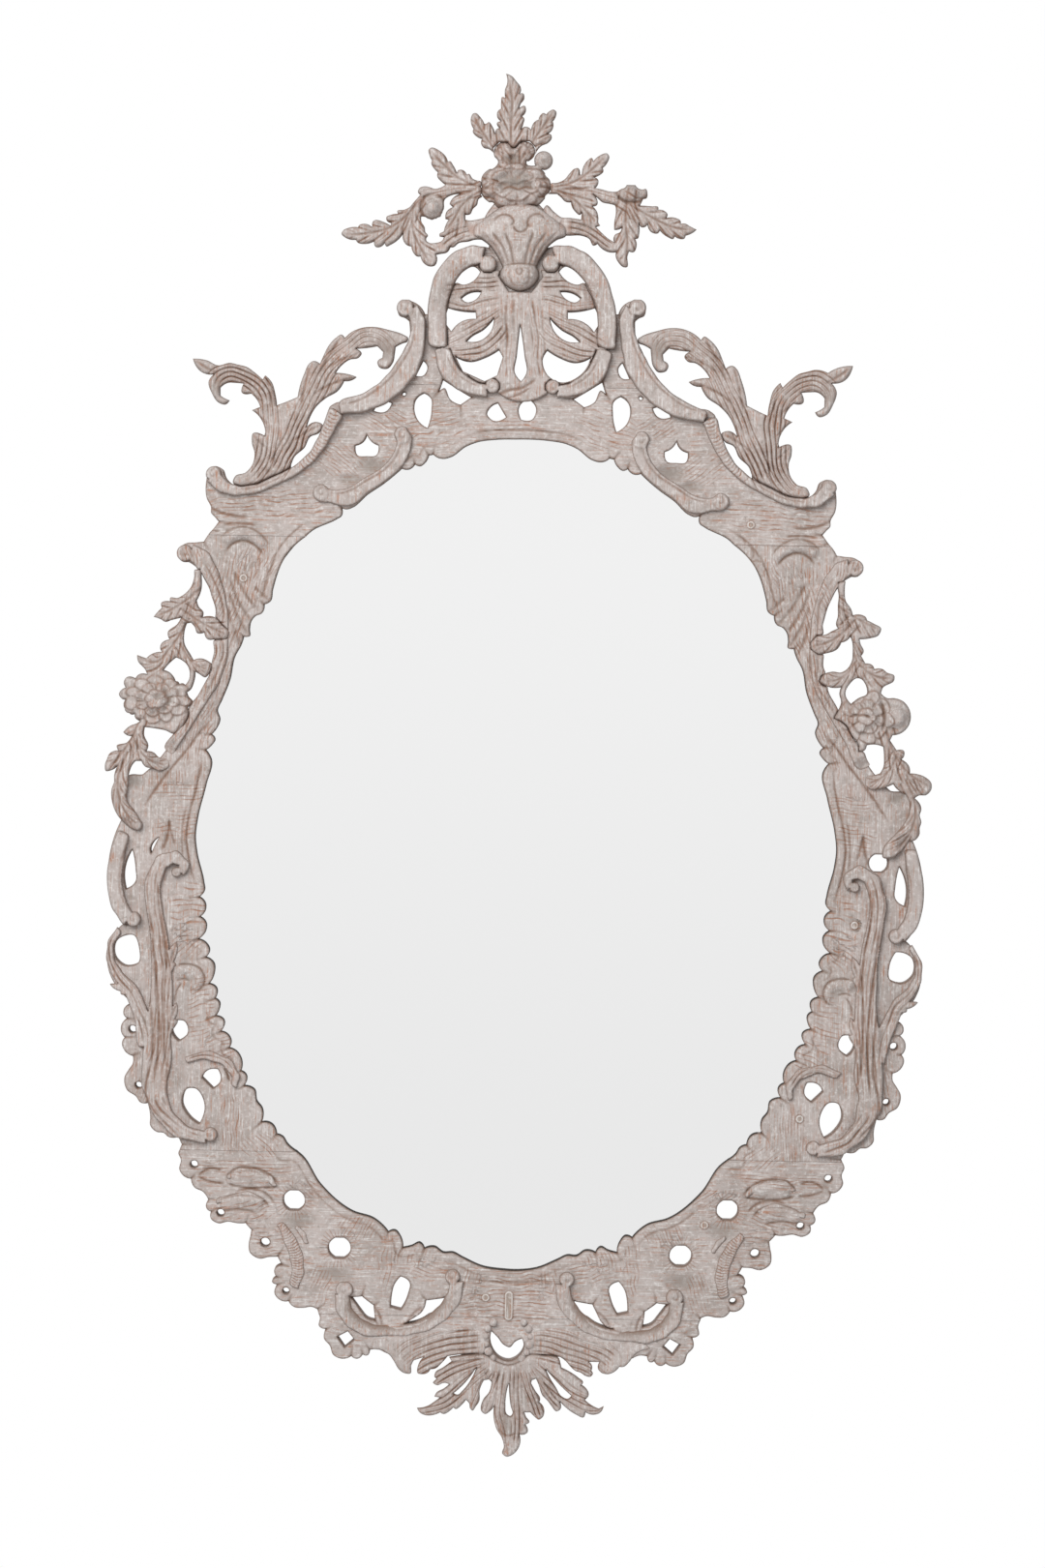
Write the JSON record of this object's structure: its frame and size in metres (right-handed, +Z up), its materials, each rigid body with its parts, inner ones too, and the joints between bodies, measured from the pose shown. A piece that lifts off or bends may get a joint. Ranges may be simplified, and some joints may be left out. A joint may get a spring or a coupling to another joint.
{
  "type": "oval wall mirror",
  "caption": "Tall oval wall mirror in a carved and pierced rococo frame of limed pine, with a flower-vase crest, leaf sprays, scrolls, a leafy pendant and ring hangers behind.",
  "frame": {"origin": "on the wall plane, straight behind the middle of the mirror plate", "axes": "+Z up along the frame's long axis, +Y out of the rear face into the wall, +X to the right seen from the front"},
  "size_m": [0.9987, 0.0666, 1.6715],
  "materials": {
    "limed_board": "limed and worn",
    "limed_carving": "limed and worn",
    "plug_wood": "limed and worn",
    "dowel_wood": "bare",
    "back_panel": "bare, darkened",
    "silvered_glass": "polished",
    "hanger_brass": "dulled",
    "screw_steel": "dulled"
  },
  "bodies": {
    "frame": {"crest_board": "limed_board", "top_rail": "limed_board", "left_stile": "limed_board", "right_stile": "limed_board", "bottom_rail": "limed_board", "apron_board": "limed_board", "frame_dowels": "dowel_wood", "face_plugs": "plug_wood", "mirror_plate": "silvered_glass", "back_board": "back_panel", "back_board_nails": "screw_steel", "plate_packers": "dowel_wood", "crest_vase": "limed_carving", "crest_rose": "limed_carving", "crest_top_leaves": "limed_carving", "crest_spray_left": "limed_carving", "crest_spray_right": "limed_carving", "crest_scroll_left": "limed_carving", "crest_scroll_right": "limed_carving", "shoulder_scroll_left": "limed_carving", "shoulder_scroll_right": "limed_carving", "shoulder_spray_left": "limed_carving", "shoulder_spray_right": "limed_carving", "ear_scroll_left": "limed_carving", "ear_scroll_right": "limed_carving", "stile_rib_left": "limed_carving", "stile_rib_right": "limed_carving", "flower_trail_left": "limed_carving", "flower_trail_right": "limed_carving", "side_scroll_left": "limed_carving", "side_scroll_right": "limed_carving", "stile_acanthus_left": "limed_carving", "stile_acanthus_right": "limed_carving", "rocaille_plumes_left": "limed_carving", "rocaille_plumes_right": "limed_carving", "apron_scroll_left": "limed_carving", "apron_scroll_right": "limed_carving", "crest_shell": "limed_carving", "apron_shell": "limed_carving", "pendant_spray": "limed_carving", "hanger_strap_left": "hanger_brass", "hanger_strap_right": "hanger_brass", "hanger_screws": "screw_steel"},
    "left_ring": {"hanger_ring_left": "hanger_brass"},
    "right_ring": {"hanger_ring_right": "hanger_brass"}
  },
  "joints": [
    {"name": "left_ring_swing", "type": "hinge", "parent": "frame", "child": "left_ring", "pos_m": [-0.28, -0.0052, 0.43199], "axis": [-1, 0, 0], "range_deg": [0, 180]},
    {"name": "right_ring_swing", "type": "hinge", "parent": "frame", "child": "right_ring", "pos_m": [0.28, -0.0052, 0.43199], "axis": [-1, 0, 0], "range_deg": [0, 180]}
  ]
}
